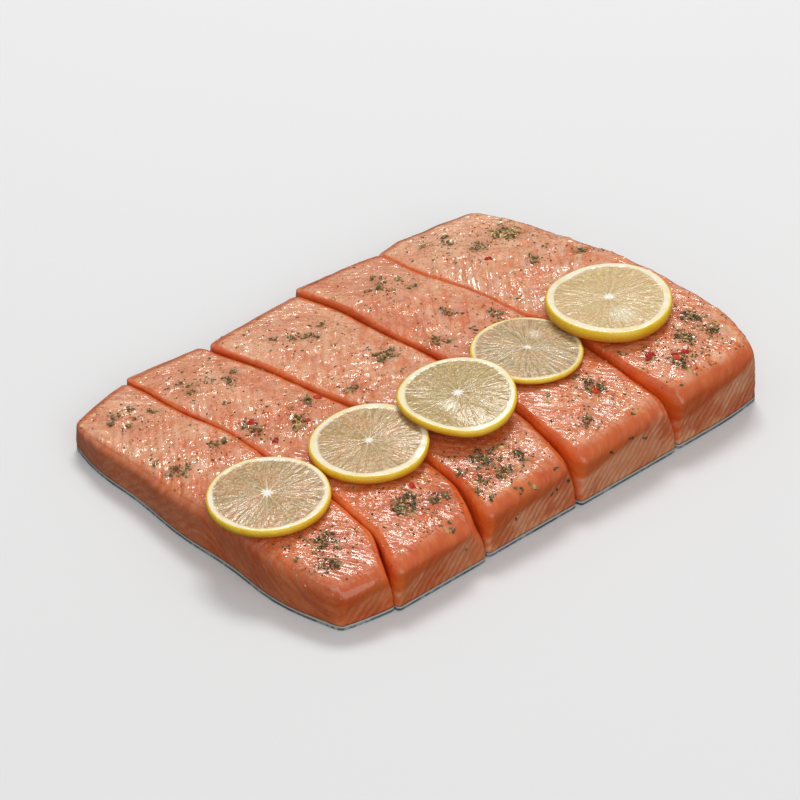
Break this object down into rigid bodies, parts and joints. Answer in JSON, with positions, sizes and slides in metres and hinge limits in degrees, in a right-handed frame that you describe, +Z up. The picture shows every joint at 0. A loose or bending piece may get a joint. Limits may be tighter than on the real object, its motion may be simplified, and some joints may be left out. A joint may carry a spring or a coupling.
{
  "type": "marinated salmon fillet",
  "caption": "Raw side of salmon, skin down, cut across into portions that lie together, with herbs, chilli flakes and a row of lemon slices on top.",
  "frame": {"origin": "middle of the bounding box, on the underside of the skin", "axes": "+X along the side from its tail end to its head end, +Y across it from the back to the belly, +Z up"},
  "size_m": [0.2682, 0.1964, 0.0427],
  "materials": {
    "flesh": "wet, glossy",
    "skin": "wet, silvery",
    "lemon": "wet, translucent"
  },
  "bodies": {
    "root": {"portion_1": "flesh", "portion_2": "flesh", "portion_3": "flesh", "portion_4": "flesh", "portion_5": "flesh", "skin_1": "skin", "skin_2": "skin", "skin_3": "skin", "skin_4": "skin", "skin_5": "skin", "lemon_slice_1": "lemon", "lemon_slice_2": "lemon", "lemon_slice_3": "lemon", "lemon_slice_4": "lemon", "lemon_slice_5": "lemon"}
  },
  "joints": []
}
